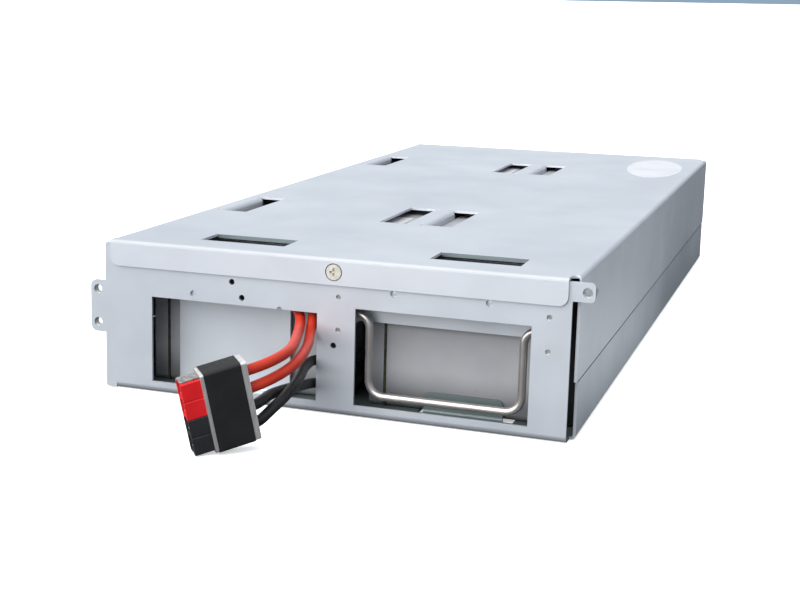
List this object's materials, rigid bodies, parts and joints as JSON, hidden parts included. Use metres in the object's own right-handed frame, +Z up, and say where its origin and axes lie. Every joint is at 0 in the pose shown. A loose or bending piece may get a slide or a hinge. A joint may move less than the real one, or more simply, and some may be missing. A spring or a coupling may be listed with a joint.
{
  "type": "ups battery cartridge",
  "caption": "Flat bent-sheet battery cartridge with a swinging wire handle, windowed front panel and leads to a stacked plug, holding sealed batteries.",
  "frame": {"origin": "centre of the flat underside of the sheet tray", "axes": "+Z up, -Y towards the panel with the handle, +X to the right seen from the handle end"},
  "size_m": [0.2335, 0.5645, 0.0705],
  "materials": {
    "zinc_steel": "zinc-plated sheet, satin",
    "screw_steel": "zinc-plated, bright",
    "bright_nickel": "bright nickel-plated wire",
    "label_white": "bare white label stock",
    "battery_grey": "moulded ABS, fine texture",
    "tin": "tin-plated",
    "lead_red": "PVC insulation, semi-gloss",
    "lead_black": "PVC insulation, semi-gloss",
    "housing_red": "moulded polycarbonate",
    "housing_black": "moulded polycarbonate",
    "sleeve_metal": "brushed",
    "wrap_black": "matt tape"
  },
  "bodies": {
    "cartridge": {"base_tray": "zinc_steel", "top_cover": "zinc_steel", "cover_screw_front": "screw_steel", "cover_screw_rear": "screw_steel", "clinch_nut_front": "zinc_steel", "clinch_nut_rear": "zinc_steel", "ear_nuts": "zinc_steel", "panel_nuts": "zinc_steel", "handle_bracket": "zinc_steel", "handle_rivets": "screw_steel", "stop_plate": "zinc_steel", "oval_label": "label_white", "battery_left_1_case": "battery_grey", "battery_left_1_lid": "battery_grey", "battery_left_1_terminals": "tin", "battery_left_1_label": "label_white", "battery_left_2_case": "battery_grey", "battery_left_2_lid": "battery_grey", "battery_left_2_terminals": "tin", "battery_left_2_label": "label_white", "battery_left_3_case": "battery_grey", "battery_left_3_lid": "battery_grey", "battery_left_3_terminals": "tin", "battery_left_3_label": "label_white", "battery_right_1_case": "battery_grey", "battery_right_1_lid": "battery_grey", "battery_right_1_terminals": "tin", "battery_right_1_label": "label_white", "battery_right_2_case": "battery_grey", "battery_right_2_lid": "battery_grey", "battery_right_2_terminals": "tin", "battery_right_2_label": "label_white", "battery_right_3_case": "battery_grey", "battery_right_3_lid": "battery_grey", "battery_right_3_terminals": "tin", "battery_right_3_label": "label_white", "link_1_left_strap": "tin", "link_2_right_strap": "tin", "link_3_left": "lead_black", "link_4_right": "lead_black", "link_5_cross": "lead_black", "spade_receptacles": "tin", "lead_red_1": "lead_red", "lead_red_2": "lead_red", "lead_black_1": "lead_black", "lead_black_2": "lead_black", "housing_black_1": "housing_black", "contact_black_1": "tin", "housing_black_2": "housing_black", "contact_black_2": "tin", "housing_red_1": "housing_red", "contact_red_1": "tin", "housing_red_2": "housing_red", "contact_red_2": "tin", "connector_sleeve": "sleeve_metal", "connector_wrap": "wrap_black", "connector_clip": "sleeve_metal"},
    "handle": {"handle_bail": "bright_nickel"}
  },
  "joints": [
    {"name": "handle_swing", "type": "hinge", "parent": "cartridge", "child": "handle", "pos_m": [0.0503, -0.233, 0.045], "axis": [-1, 0, 0], "range_deg": [-8, 100]}
  ]
}
